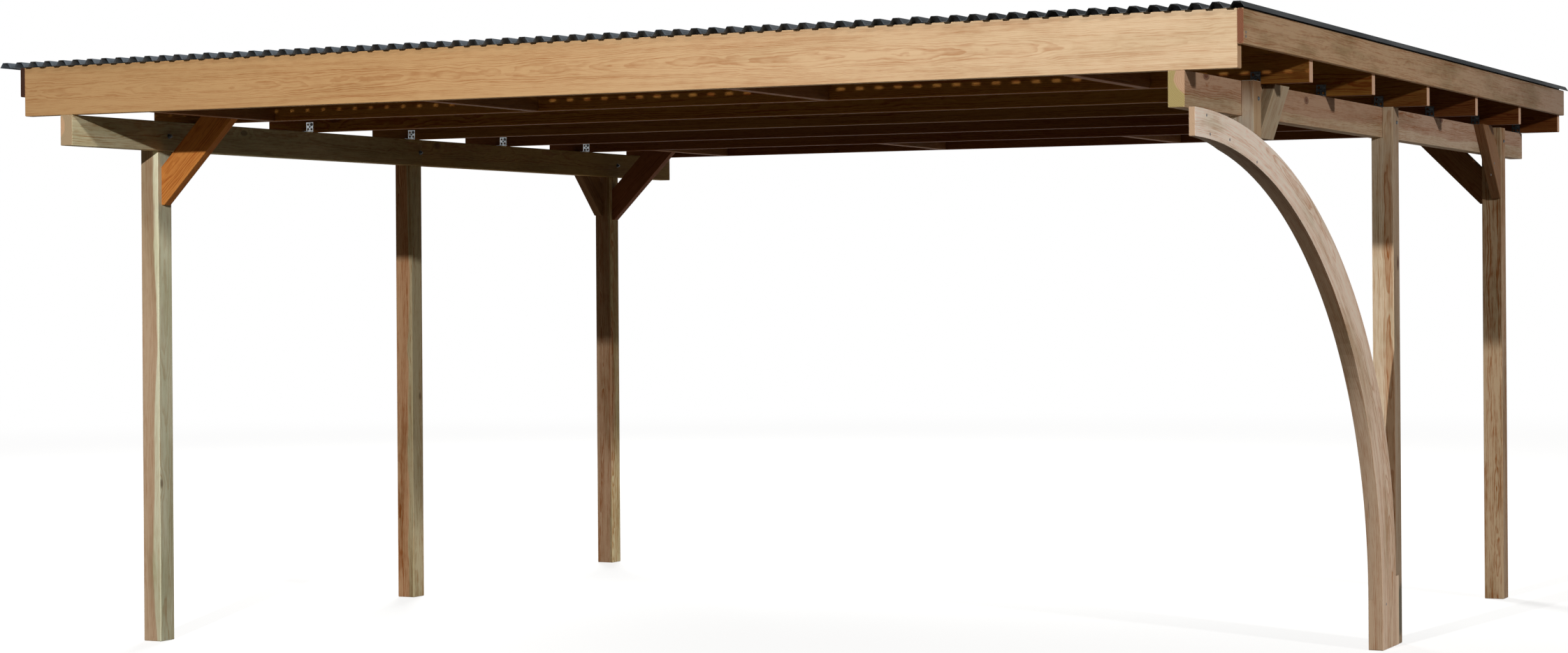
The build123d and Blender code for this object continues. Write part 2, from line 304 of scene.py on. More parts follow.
def grain_group():
    """Sawn pine: growth rings round a wandering pith, heartwood, fibres, knots and checks.

    Place runs along the grain in X and across it in Y and Z, in metres from the timber's middle.
    """
    found = bpy.data.node_groups.get("pine grain")
    if found:
        return found
    group = bpy.data.node_groups.new("pine grain", "ShaderNodeTree")
    for name, kind in GRAIN_INPUTS:
        group.interface.new_socket(name, in_out="INPUT", socket_type=kind)
    for name, kind in GRAIN_OUTPUTS:
        group.interface.new_socket(name, in_out="OUTPUT", socket_type=kind)
    r = Recipe(group)
    given = group.nodes.new("NodeGroupInput").outputs
    place = r.vector("ADD", given["Place"], given["Shift"])

    def stretched(along, over):
        return r.vector("MULTIPLY", place, (along, over, over))

    def noise(along, over, detail, roughness=0.5):
        return r.noise(stretched(along, over), detail, roughness).outputs[0]

    def wandering(along, over, detail, roughness=0.5):
        node = r.noise(stretched(along, over), detail, roughness)
        return r.vector("SUBTRACT", node.outputs[1], (0.5, 0.5, 0.5))

    # The pith wanders along the timber, which draws the arches and flames of a flat-sawn face
    slow = wandering(0.6, 0.5, 1)
    quick = wandering(2.4, 5, 4, 0.55)
    slow = r.vector("MULTIPLY", slow, (0, 0.08, 0.05))
    wander = r.vector("ADD", slow, r.scaled(quick, given["Flames"]))
    across = r.vector("ADD", r.vector("SUBTRACT", given["Place"], given["Pith"]), wander)
    radius = r.measure("LENGTH", r.vector("MULTIPLY", across, (0, 1, 1)))

    # Knots lie in some cells of a pattern, with bark round them, and the rings swell past them
    cell_inputs = {"Vector": stretched(4.2, 8.5), "Scale": 1.0}
    cell = r.add("ShaderNodeTexVoronoi", cell_inputs, feature="F1")
    far = cell.outputs["Distance"]
    chosen = r.math("LESS_THAN", r.parts(cell.outputs["Color"])[0], given["Knots"])
    size = given["Knot size"]
    knot = r.math("MULTIPLY", r.ramp(far, size, r.math("MULTIPLY", size, 0.6)), chosen)
    bark = r.math("MULTIPLY", r.ramp(far, r.math("MULTIPLY", size, 1.35), size), chosen)
    swell = r.math("MULTIPLY", r.ramp(far, r.math("MULTIPLY", size, 3.5), 0.0, 0, 1), chosen)
    radius = r.math("MULTIPLY_ADD", swell, r.math("MULTIPLY", size, 0.1), radius)

    # Growth rings, each with a dark late part, in broad bands of stronger and fainter rings
    ripple = r.math("MULTIPLY", noise(9, 60, 2), 1.3)
    uneven = r.noise(r.join(0, r.math("MULTIPLY", radius, 30), 0), detail=1).outputs[0]
    phase = r.math("ADD", r.math("DIVIDE", radius, given["Ring"]), ripple)
    phase = r.math("MULTIPLY_ADD", uneven, 2.5, phase)
    turn = r.math("FRACT", phase)
    late = r.math("SUBTRACT", r.ramp(turn, 0.3, 0.86), r.ramp(turn, 0.88, 1.0))
    along = r.parts(place)[0]
    seed = r.parts(given["Shift"])[1]
    band = r.join(r.math("MULTIPLY", along, 0.3), r.math("MULTIPLY", radius, 55), seed)
    wide = r.ramp(r.noise(band, 2.5).outputs[0], 0.36, 0.66)

    # Fibres, streaks and blotches, and drying checks along the grain
    fibre = noise(7, 230, 4, 0.7)
    streak = noise(1.8, 55, 3, 0.6)
    stipple = noise(22, 55, 2)
    blotch = noise(1.6, 8, 4, 0.55)
    check = r.ramp(noise(1.5, 75, 2), 0.7, 0.76)
    check = r.math("MULTIPLY", check, given["Checks"])

    shade = r.math("MULTIPLY", late, r.math("MULTIPLY_ADD", wide, 0.55, 0.25))
    shade = r.math("MULTIPLY_ADD", wide, 0.15, shade)
    for source, share in ((fibre, 1.9), (streak, 1.2), (stipple, 0.7), (blotch, 0.9)):
        shade = r.math("MULTIPLY_ADD", r.math("SUBTRACT", source, 0.5), share, shade)
    shade = r.math("MULTIPLY", shade, given["Contrast"], clamp=True)

    # Heartwood within its radius of the pith, sapwood outside, and grey weathering in blotches
    edge_wave = r.math("MULTIPLY", r.math("SUBTRACT", blotch, 0.5), 0.04)
    edge = r.math("SUBTRACT", r.math("ADD", radius, edge_wave), given["Heart radius"])
    heart = r.ramp(edge, -0.004, 0.004, 1, 0)
    light = r.mix(heart, given["Sapwood"], given["Heartwood"])
    dark = r.times(light, tone("C49468"))
    colour = r.mix(shade, light, dark)
    weather = r.math("MULTIPLY", r.ramp(blotch, 0.45, 0.7), given["Weather"])
    colour = r.mix(weather, colour, r.times(colour, tone("B4BA9E")))

    # Sawn ends show rings, and knots, bark and checks lie over everything
    lines = r.math("MULTIPLY", late, 0.3)
    ends = r.mix(lines, given["End grain"], r.times(given["End grain"], tone("B08462")))
    ends = r.mix(r.math("MULTIPLY", heart, 0.9), ends, r.mix(lines, given["Heartwood"], dark))
    colour = r.mix(given["End"], colour, ends)
    colour = r.mix(r.math("MULTIPLY", knot, 0.85), colour, r.times(dark, tone("94603E")))
    bark = r.math("MULTIPLY", r.math("SUBTRACT", bark, knot, clamp=True), 0.6)
    colour = r.mix(bark, colour, r.times(dark, tone("7A5238")))
    colour = r.mix(r.math("MULTIPLY", check, 0.75), colour, tone("2A1C12"))

    # The arrises are paler: partly wear from handling, partly a painted highlight
    inwards = r.vector("SUBTRACT", given["Half size"], r.vector("ABSOLUTE", given["Place"]))
    reach = r.parts(inwards)
    arris = r.ramp(r.math("MAXIMUM", reach[1], reach[2]), 0.001, 0.008, 1, 0)
    arris = r.math("MULTIPLY", arris, r.ramp(blotch, 0.35, 0.65, 0.1, 0.5))
    colour = r.mix(arris, colour, r.times(light, (1.2, 1.2, 1.15)))

    rough = r.math("ADD", r.math("MULTIPLY", fibre, 0.2), r.math("MULTIPLY_ADD", late, -0.1, 0.64))
    height = r.math("ADD", r.math("MULTIPLY", late, 0.35), fibre)
    height = r.math("SUBTRACT", height, r.math("MULTIPLY", check, 2.5))
    height = r.math("ADD", height, r.math("MULTIPLY", knot, 0.5))
    out = group.nodes.new("NodeGroupOutput")
    for (name, _), value in zip(GRAIN_OUTPUTS, (colour, rough, height)):
        group.links.new(value, out.inputs[name])
    return group


@dataclass
class Wood:
    """How one timber was sawn and how it looks.

    The pith lies over and beside the timber's middle, in metres, and the heartwood, with the colour
    of the core, reaches as far round it as the heart's radius. Knots is the share of the places
    that have one. Fade is the sapwood's colour at the timber's far end, right a tint of its right
    face, under a tint of the faces that look down, and the dark band the heights between which its
    right face is darker and greener. The right and under tints are painted light and shade, and so
    are the fades of the front left post, the stub and the left purlin, and in part the front rafter's.
    """
    colour: tuple
    pith: tuple
    heart: float = 0.0
    core: tuple = None
    contrast: float = 0.8
    flames: float = 0.03
    knots: float = 0.1
    knot: float = 0.12
    checks: float = 0.4
    weather: float = 0.4
    ring: float = 1.0
    end: tuple = None
    fade: tuple = None
    right: tuple = None
    under: tuple = None
    dark_band: tuple = None


def tinted(colour, tint):
    """A colour multiplied by a tint."""
    return tuple(min(c * t, 1.0) for c, t in zip(colour, tint))


def link_grain(name, wood, r, shader, place, end, half):
    """Links the pine grain to a timber's shader.

    Half is half the timber's size along its grain and over and beside it.
    """
    timber = bpy.context.scene.carport_timber
    draw = random.Random(name)
    shift = [draw.uniform(-20, 20) for _ in range(3)]
    sapwood = (*wood.colour, 1)
    if wood.fade:
        share = r.ramp(r.parts(place)[0], -0.4 * half[0], 1.3 * half[0])
        sapwood = r.mix(share, sapwood, (*wood.fade, 1))
    grain = r.add("ShaderNodeGroup", {}, node_tree=grain_group())
    for key, value in {
        "Place": place,
        "End": end,
        "Pith": (0, *wood.pith),
        "Half size": (0, *half[1:]),
        "Shift": shift,
        "Sapwood": sapwood,
        "Heartwood": (*(wood.core or wood.colour), 1),
        "End grain": (*(wood.end or wood.colour), 1),
        "Heart radius": wood.heart,
        "Ring": timber.growth_ring * wood.ring,
        "Contrast": wood.contrast,
        "Flames": wood.flames,
        "Knots": wood.knots,
        "Knot size": wood.knot,
        "Checks": wood.checks,
        "Weather": wood.weather,
    }.items():
        r.plug(grain.inputs[key], value)
    colour = grain.outputs["Colour"]
    # Painted light and shade: tints for the right faces and for the faces that look down
    facing = r.parts(r.facing())
    on_right = r.ramp(facing[0], 0.6, 0.9)
    if wood.under:
        looks_down = r.ramp(facing[2], -0.5, -0.75)
        colour = r.mix(looks_down, colour, r.times(colour, wood.under))
    if wood.right:
        colour = r.mix(on_right, colour, r.times(colour, wood.right))
    # A darker, greener band on the right face between two heights
    if wood.dark_band:
        low, high = wood.dark_band
        spot = r.place()
        uneven = r.noise(spot, 3, scale=22).outputs[0]
        level = r.math("MULTIPLY_ADD", uneven, 0.06, r.parts(spot)[2])
        over_low = r.ramp(level, low, low + 0.03)
        between = r.math("MULTIPLY", over_low, r.ramp(level, high, high + 0.04, 1, 0))
        band_share = r.math("MULTIPLY", r.math("MULTIPLY", between, on_right), 0.75)
        colour = r.mix(band_share, colour, tone("4A4C40"))
    shader.inputs["Specular IOR Level"].default_value = 0.1
    bump_inputs = {"Strength": 0.45, "Distance": 0.0012, "Height": grain.outputs["Height"]}
    bump = r.add("ShaderNodeBump", bump_inputs)
    r.plug(shader.inputs["Base Color"], colour)
    r.plug(shader.inputs["Roughness"], grain.outputs["Roughness"])
    r.plug(shader.inputs["Normal"], bump.outputs[0])


def timber_material(name, wood, direction):
    """Pine with its grain along a direction, in the middle of a node's box."""
    low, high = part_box(name)
    along = Vector(direction).normalized()
    leaning = 0.3 < abs(along.z) < 0.9
    if abs(along.z) < 0.3:
        over = Vector(UP)
    elif leaning and abs(along.y) < 0.3:
        over = Vector(DEEP)
    else:
        over = Vector(WIDE)
    side = along.cross(over).normalized()
    middle = (low + high) / 2
    half = [((high - low) / 2).dot(Vector(map(abs, axis))) for axis in (along, over, side)]
    if leaning:
        half[2] = BRACE_WIDTH / 2
    material, r, shader = new_material(name)
    local = r.vector("SUBTRACT", r.place(), tuple(middle))
    place = r.join(*(r.measure("DOT_PRODUCT", local, tuple(axis)) for axis in (along, over, side)))
    facing_along = r.measure("DOT_PRODUCT", r.facing(), tuple(along))
    end = r.ramp(r.math("ABSOLUTE", facing_along), 0.6, 0.9)
    link_grain(name, wood, r, shader, place, end, half)
    return material


def arch_material(name, wood):
    """Pine with its grain round the arch's curve and straight down in its foot."""
    low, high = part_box(name)
    material, r, shader = new_material(name)
    x, y, z = r.parts(r.place())
    over_spring = r.math("SUBTRACT", z, ARCH_MIDDLE_SPRING)
    share_y = r.math("DIVIDE", r.math("SUBTRACT", y, ARCH_FRONT), ARCH_MIDDLE_REACH)
    share_z = r.math("DIVIDE", r.math("MAXIMUM", over_spring, 0), ARCH_MIDDLE_RISE)
    level = r.measure("LENGTH", r.join(share_y, share_z, 0))
    turn = r.math("ARCTAN2", share_z, share_y)
    along = r.math("MULTIPLY_ADD", turn, ARCH_MEAN_RADIUS, r.math("MINIMUM", over_spring, 0))
    out = r.math("MULTIPLY", r.math("SUBTRACT", level, 1), ARCH_MEAN_RADIUS)
    place = r.join(along, out, r.math("SUBTRACT", x, (low.x + high.x) / 2))
    facing = r.parts(r.facing())
    front_end = r.math("MULTIPLY", r.ramp(facing[1], -0.6, -0.9), r.ramp(share_y, 0.02, 0.01))
    link_grain(name, wood, r, shader, place, front_end, ARCH_HALF)
    return material


def round_arrises(node):
    """Takes the sharpness off a timber's edges."""
    weld = node.modifiers.new("join corners", "WELD")
    weld.merge_threshold = SAME_CORNER
    bevel = node.modifiers.new("rounded arrises", "BEVEL")
    bevel.width = bpy.context.scene.carport_timber.arris
    bevel.segments = BEVEL_STEPS
    bevel.limit_method = "ANGLE"
    bevel.angle_limit = math.radians(30)


def dress(name, material, rounded=True):
    """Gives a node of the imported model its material."""
    node = NODES[name]
    node.data.materials.clear()
    node.data.materials.append(material)
    if rounded:
        round_arrises(node)


def dress_timber(name, wood, direction):
    """Gives a straight timber its pine."""
    dress(name, timber_material(name, wood, direction))


class Piece:
    """A mesh that is put together from small forms and becomes one piece."""

    def __init__(self, name):
        self.name = name
        self.mesh = bmesh.new()

    def turned(self, centre, axis, profile, sides=20):
        """A form turned round an axis, from the radius and height of each step of its outline.

        Both ends close in the middle, at the heights of the first and the last step.
        """
        steps = [step for step in profile if step[0] > 0]
        rotation = Vector(axis).to_track_quat("Z", "Y").to_matrix().to_4x4()
        matrix = Matrix.Translation(centre) @ rotation
        angles = [2 * math.pi * step / sides for step in range(sides)]

        def pole(height):
            return [self.mesh.verts.new(matrix @ Vector((0, 0, height)))] * sides

        rows = [pole(profile[0][1])]
        for radius, height in steps:
            points = [Vector((radius * math.cos(a), radius * math.sin(a), height)) for a in angles]
            rows.append([self.mesh.verts.new(matrix @ point) for point in points])
        rows.append(pole(profile[-1][1]))
        for lower, upper in zip(rows, rows[1:]):
            for step in range(sides):
                after = (step + 1) % sides
                ring = [lower[step], lower[after], upper[after], upper[step]]
                corners = [v for place, v in enumerate(ring) if v not in ring[:place]]
                self.mesh.faces.new(corners)

    def finish(self, material, smooth=True):
        """Makes the object, which rides on the frame."""
        bmesh.ops.recalc_face_normals(self.mesh, faces=self.mesh.faces)
        data = bpy.data.meshes.new(self.name)
        self.mesh.to_mesh(data)
        self.mesh.free()
        data.materials.append(material)
        if smooth:
            data.shade_smooth()
            data.set_sharp_from_angle(angle=math.radians(35))
        made = bpy.data.objects.new(self.name, data)
        bpy.context.scene.collection.objects.link(made)
        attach(made, "root")
        return made


def zinc_material(name="zinc", metallic=0.85, level=1.0):
    """Galvanised steel, dull, with faint cloudy spangle, and paler or darker by its level."""
    found = bpy.data.materials.get(name)
    if found:
        return found
    material, r, shader = new_material(name)
    place = r.place()
    spangle = r.add("ShaderNodeTexVoronoi", {"Vector": place, "Scale": 260.0}, feature="F1")
    cloud = r.noise(place, 3, scale=40).outputs[0]
    base = tinted(bpy.context.scene.carport_steel.zinc_colour, (level, level, level))
    flake = r.ramp(r.parts(spangle.outputs["Color"])[0], 0.2, 0.9)
    shade = r.mix(flake, base, tinted(base, (0.78, 0.8, 0.83)))
    dull = r.mix(r.ramp(cloud, 0.45, 0.7), shade, tinted(base, (0.6, 0.58, 0.55)))
    r.plug(shader.inputs["Base Color"], dull)
    r.plug(shader.inputs["Roughness"], r.ramp(cloud, 0.3, 0.7, 0.38, 0.6))
    shader.inputs["Metallic"].default_value = metallic
    bump = r.add("ShaderNodeBump", {"Strength": 0.15, "Distance": 0.0003, "Height": cloud})
    r.plug(shader.inputs["Normal"], bump.outputs[0])
    return material


def dull_zinc():
    """The dark zinc of the bolts and screws."""
    return zinc_material("dull bolt", 0.4, 0.2)


def sheet_material():
    """Coated steel: blue-grey, satin, slightly dusty, with the shallow dents of handling."""
    material, r, shader = new_material("coated sheet")
    place = r.place()
    base = tuple(bpy.context.scene.carport_steel.sheet_colour)
    dust = r.noise(r.vector("MULTIPLY", place, (9, 1.2, 9)), 4).outputs[0]
    fine = r.noise(place, 2, scale=350).outputs[0]
    colour = r.mix(r.ramp(dust, 0.45, 0.75, 0, 0.35), base, tinted(base, (1.7, 1.65, 1.55)))
    colour = r.mix(r.ramp(fine, 0.4, 0.6, 0, 0.2), colour, tinted(base, (0.7, 0.7, 0.7)))
    # Painted shade: the ribs' right flanks are darker, more so toward the right edge of the roof
    facing = r.ramp(r.parts(r.facing())[0], 0.2, 0.6)
    shaded = r.math("MULTIPLY", facing, r.ramp(r.parts(place)[0], -0.5, 2.6, 0, 0.9))
    colour = r.mix(shaded, colour, tinted(base, (0.12, 0.11, 0.1)))
    r.plug(shader.inputs["Base Color"], colour)
    r.plug(shader.inputs["Roughness"], r.ramp(dust, 0.3, 0.8, 0.45, 0.7))
    r.plug(shader.inputs["Specular IOR Level"], r.ramp(shaded, 0, 0.9, 0.3, 0.03))
    dents = r.noise(r.vector("MULTIPLY", place, (14, 2, 14)), 2).outputs[0]
    bump = r.add("ShaderNodeBump", {"Strength": 0.2, "Distance": 0.003, "Height": dents})
    r.plug(shader.inputs["Normal"], bump.outputs[0])
    return material


class CARPORT_OT_posts(bpy.types.Operator):
    """Dress the five posts and the stub in treated pine"""
    bl_idname = "carport.posts"
    bl_label = "Posts and stub"

    def execute(self, context):
        timber = context.scene.carport_timber
        sap, core = tuple(timber.sapwood), tuple(timber.heartwood)
        grey_sap = tinted(sap, (0.95, 0.9, 0.92))
        stripe = tinted(core, (0.88, 0.97, 1.0))
        woods = {
            # Painted light: paler toward the top. Painted shade: a darker right face
            "left_front_post": Wood(
                colour=tinted(sap, (1.35, 1.5, 1.85)), pith=(-0.03, -0.01), heart=0.062,
                core=tinted(core, (0.88, 0.98, 1.08)), contrast=0.5, flames=0.02, knots=0.15, checks=0.3,
                fade=tinted(sap, (1.9, 2.1, 2.6)), right=(0.74, 0.72, 0.7),
            ),
            # Painted light: a lighter right face, on this post and the next
            "left_middle_post": Wood(
                colour=grey_sap, pith=(-0.03, -0.02), heart=0.058, core=tinted(core, (0.92, 0.84, 0.76)),
                contrast=1.1, knots=0.2, right=(1.4, 1.4, 1.45),
            ),
            "left_back_post": Wood(
                colour=grey_sap, pith=(-0.02, -0.03), heart=0.06, core=tinted(core, (0.77, 0.77, 0.79)),
                contrast=1.1, knots=0.2, right=(1.9, 1.9, 1.9),
            ),
            # Painted shade: a darker right face, with a darker, greener band low on it
            "right_middle_post": Wood(
                colour=tinted(core, (1.25, 1.55, 1.85)), pith=(0.025, -0.075), heart=0.03, core=core,
                contrast=0.9, right=(0.6, 0.58, 0.58), dark_band=(0.06, 0.25),
            ),
            "right_back_post": Wood(
                colour=stripe, pith=(0.0, -0.065), heart=0.02, core=stripe,
                contrast=1.6, flames=0.04, knots=0.08, ring=1.5, right=(1.0, 1.02, 1.1),
            ),
            # Painted light: the very pale lower part. Painted shade: the darker top and right face
            "right_front_stub": Wood(
                colour=tone("FFF2DC"), pith=(0.02, 0.07), contrast=0.6,
                fade=tinted(core, (0.5, 0.42, 0.32)), right=(0.49, 0.38, 0.28),
            ),
        }
        for name, wood in woods.items():
            dress_timber(name, wood, UP)
        return {"FINISHED"}


class CARPORT_OT_purlins(bpy.types.Operator):
    """Dress the four lengths of purlin in treated pine, with their heart at one corner"""
    bl_idname = "carport.purlins"
    bl_label = "Purlins"

    def execute(self, context):
        timber = context.scene.carport_timber
        sap, core = tuple(timber.sapwood), tuple(timber.heartwood)
        right_core = tinted(core, (0.76, 0.74, 0.8))
        right_sap = tinted(sap, (1.02, 0.83, 0.92))
        # Painted light and shade: the left purlin's front length is lighter at its front and fades into
        # this darker colour, which its back length has all along
        left_painted_shade = tinted(sap, (0.7, 0.5, 0.3))
        lengths = {
            "front": ((1, 1, 1), tinted(sap, (1.22, 1.2, 1.3))),
            "back": ((1.15, 1.22, 1.35), left_painted_shade),
        }
        for length, (lift, left_sap) in lengths.items():
            right = Wood(
                colour=tinted(right_sap, lift), pith=(0.045, 0.055), heart=0.068,
                core=tinted(right_core, lift), contrast=0.9, flames=0.04, knots=0.25, end=tone("9C8C5C"),
            )
            left = Wood(
                colour=left_sap, pith=(0.03, -0.06), heart=0.05, core=core,
                contrast=0.9, knots=0.2, end=tone("AE9878"), fade=left_painted_shade,
            )
            dress_timber(f"right_purlin_{length}", right, DEEP)
            dress_timber(f"left_purlin_{length}", left, DEEP)
        return {"FINISHED"}


class CARPORT_OT_rafters(bpy.types.Operator):
    """Dress the golden front rafter and the brown rafters behind it"""
    bl_idname = "carport.rafters"
    bl_label = "Rafters"

    def execute(self, context):
        timber = context.scene.carport_timber
        # Partly painted light: darker at the left end for the light falling off there, fading to cream on
        # the right
        front = Wood(
            colour=tuple(timber.front_left), pith=(0.0, -0.055), heart=0.026,
            core=tinted(timber.front_left, (1.15, 1.0, 0.75)), contrast=0.6, flames=0.024,
            knots=0.0, checks=0.0, weather=0.12, ring=0.62, end=tone("C9A27C"),
            fade=tuple(timber.front_right),
        )
        dress_timber("rafter_1", front, WIDE)
        draw = random.Random("rafters")
        for number, tint in enumerate(RAFTER_TINTS, 2):
            # Painted shade: the rafters' dark brown, their tints darker toward the back, and their darker
            # undersides
            wood = Wood(
                colour=tinted(timber.rafter_colour, tint),
                pith=(draw.uniform(-0.06, 0.06), draw.choice((-0.05, 0.05))),
                contrast=1.1, knots=0.15, weather=0.05, end=tone("E4BC9E"), under=(0.62, 0.55, 0.5),
            )
            dress_timber(f"rafter_{number}", wood, WIDE)
        return {"FINISHED"}


class CARPORT_OT_noggings(bpy.types.Operator):
    """Dress the eight noggings between the rafters"""
    bl_idname = "carport.noggings"
    bl_label = "Noggings"

    def execute(self, context):
        base = tinted(context.scene.carport_timber.rafter_colour, (1.3, 1.3, 1.5))
        # Partly painted shade: the noggings take the rafters' dark brown, and their undersides are painted
        # darker
        wood = Wood(colour=base, pith=(0.02, 0.05), weather=0.6, under=(0.7, 0.66, 0.6))
        for row in ("front", "back"):
            for number in range(1, 5):
                dress_timber(f"{row}_nogging_{number}", wood, DEEP)
        return {"FINISHED"}


class CARPORT_OT_side_boards(bpy.types.Operator):
    """Dress the boards on the rafters' ends"""
    bl_idname = "carport.side_boards"
    bl_label = "Side boards"

    def execute(self, context):
        base = tuple(context.scene.carport_timber.board_colour)
        # Painted shade: the left board and its end grain are much darker than the right board
        left = Wood(colour=tinted(base, (0.5, 0.35, 0.3)), pith=(0.0, 0.05), end=tone("402A20"))
        right = Wood(
            colour=tinted(base, (1.1, 1.15, 1.2)), pith=(-0.005, -0.035), contrast=0.95, flames=0.035,
            knots=0.06, weather=0.6, end=tone("7A4E38"), fade=tinted(base, (0.78, 0.86, 1.1)),
        )
        dress_timber("left_side_board", left, DEEP)
        dress_timber("right_side_board", right, DEEP)
        return {"FINISHED"}


class CARPORT_OT_braces(bpy.types.Operator):
    """Dress the knee braces, one of them strongly orange"""
    bl_idname = "carport.braces"
    bl_label = "Braces"

    def execute(self, context):
        timber = context.scene.carport_timber
        base = tuple(timber.brace_colour)
        orange = Wood(
            colour=tuple(timber.orange_colour), pith=(0.06, 0.02), knot=0.06, checks=0.2, weather=0.0,
        )
        dress_timber("left_front_cross_brace", orange, (1, 0, 1))
        # Painted shade: all but the last of these tints darken braces that stand in the shade under the
        # roof
        lean = {
            "left_back_cross_brace": ((1, 0, 1), (0.55, 0.3, 0.2)),
            "right_back_cross_brace": ((-1, 0, 1), (0.6, 0.45, 0.34)),
            "left_front_side_brace": ((0, 1, 1), (0.7, 0.6, 0.5)),
            "left_back_side_brace": ((0, -1, 1), (0.6, 0.5, 0.4)),
            "right_back_side_brace": ((0, -1, 1), (0.6, 0.48, 0.4)),
            "right_front_side_brace": ((0, 1, 1), (1.0, 1.2, 1.42)),
        }
        for name, (direction, tint) in lean.items():
            wood = Wood(colour=tinted(base, tint), pith=(0.05, 0.03), knots=0.06)
            dress_timber(name, wood, direction)
        return {"FINISHED"}


class CARPORT_OT_arch(bpy.types.Operator):
    """Dress the entry arch in pale pine whose grain follows the curve"""
    bl_idname = "carport.arch"
    bl_label = "Entry arch"

    def execute(self, context):
        base = tuple(context.scene.carport_timber.arch_colour)
        # Painted light and shade: the arch's colour is darkened for its shaded inner face and foot, its
        # right face is painted much lighter, and its undersides darker
        painted_shade_base = tinted(base, (0.62, 0.56, 0.47))
        wood = Wood(
            colour=painted_shade_base, pith=(0.03, 0.11), flames=0.02, knots=0.3, knot=0.05, checks=0.5, ring=0.8,
            fade=tinted(painted_shade_base, (1.25, 1.42, 1.7)), right=(2.1, 2.3, 2.6), under=(0.48, 0.42, 0.35),
        )
        dress("entry_arch", arch_material("entry_arch", wood))
        return {"FINISHED"}


class CARPORT_OT_roof_sheets(bpy.types.Operator):
    """Dress the five ribbed roof sheets in coated steel"""
    bl_idname = "carport.roof_sheets"
    bl_label = "Roof sheets"

    def execute(self, context):
        material = sheet_material()
        for number in range(1, SHEET_COUNT + 1):
            dress(f"roof_sheet_{number}", material, rounded=False)
        return {"FINISHED"}


class CARPORT_OT_roof_screws(bpy.types.Operator):
    """Set the roof screws with their washers in the valleys over each rafter"""
    bl_idname = "carport.roof_screws"
    bl_label = "Roof screws"

    def execute(self, context):
        steel = context.scene.carport_steel
        washer = steel.roof_washer
        hexagon = washer * 0.55
        washer_steps = [(washer, 0), (washer, 0.0012), (washer * 0.75, 0.002)]
        head_steps = [(hexagon, 0.0018), (hexagon, 0.0062), (hexagon * 0.8, 0.0068)]
        low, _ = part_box("roof_sheet_1")
        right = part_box("roof_sheet_5")[1].x
        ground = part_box("rafter_1")[1].z + SHEET_THICK
        first = low.x + RIB_FOOT + (RIB_PITCH - RIB_FOOT) / 2
        piece = Piece("roof_screws")
        for number in range(1, RAFTER_COUNT + 1):
            start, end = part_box(f"rafter_{number}")
            rib = 1
            while first + rib * RIB_PITCH < min(right, end.x):
                centre = (first + rib * RIB_PITCH, (start.y + end.y) / 2, ground)
                piece.turned(centre, UP, washer_steps, 16)
                piece.turned(centre, UP, head_steps, 6)
                rib += steel.ribs_between
        piece.finish(zinc_material(), smooth=False)
        return {"FINISHED"}


def triangles_between(loops, rims):
    """The triangles between an outline and its holes, each as the places of its three corners.

    It works in millimetres. A triangle with all its corners on one hole lies in that hole.
    """
    points = [Vector((x * 1000, y * 1000)) for loop in loops for x, y in loop]
    loop_of = [number for number, loop in enumerate(loops) for _ in loop]
    filled = delaunay_2d_cdt(points, rims, [], 1, 0.00001)
    for triangle in filled[2]:
        corners = [filled[3][corner][0] for corner in triangle]
        on_loops = {loop_of[corner] for corner in corners}
        if len(on_loops) > 1 or 0 in on_loops:
            yield corners


def plate(piece, origin, right, up, size, holes):
    """A bracket's flat leg with round holes, from its lower left corner and two directions."""
    right, up = Vector(right), Vector(up)
    lift = right.cross(up) * BRACKET_THICK
    angles = [2 * math.pi * step / HOLE_SIDES for step in range(HOLE_SIDES)]
    loops = [[(0, 0), (size[0], 0), (size[0], size[1]), (0, size[1])]]
    for x, y, radius in holes:
        loops.append([(x + radius * math.cos(a), y + radius * math.sin(a)) for a in angles])
    lower, upper, rims = [], [], []
    for points in loops:
        spots = [Vector(origin) + right * x + up * y for x, y in points]
        back = [piece.mesh.verts.new(spot) for spot in spots]
        front = [piece.mesh.verts.new(spot + lift) for spot in spots]
        for place in range(len(points)):
            after = (place + 1) % len(points)
            piece.mesh.faces.new([back[place], back[after], front[after], front[place]])
            rims.append((len(lower) + place, len(lower) + after))
        lower += back
        upper += front
    for corners in triangles_between(loops, rims):
        piece.mesh.faces.new([lower[corner] for corner in corners])
        piece.mesh.faces.new([upper[corner] for corner in reversed(corners)])


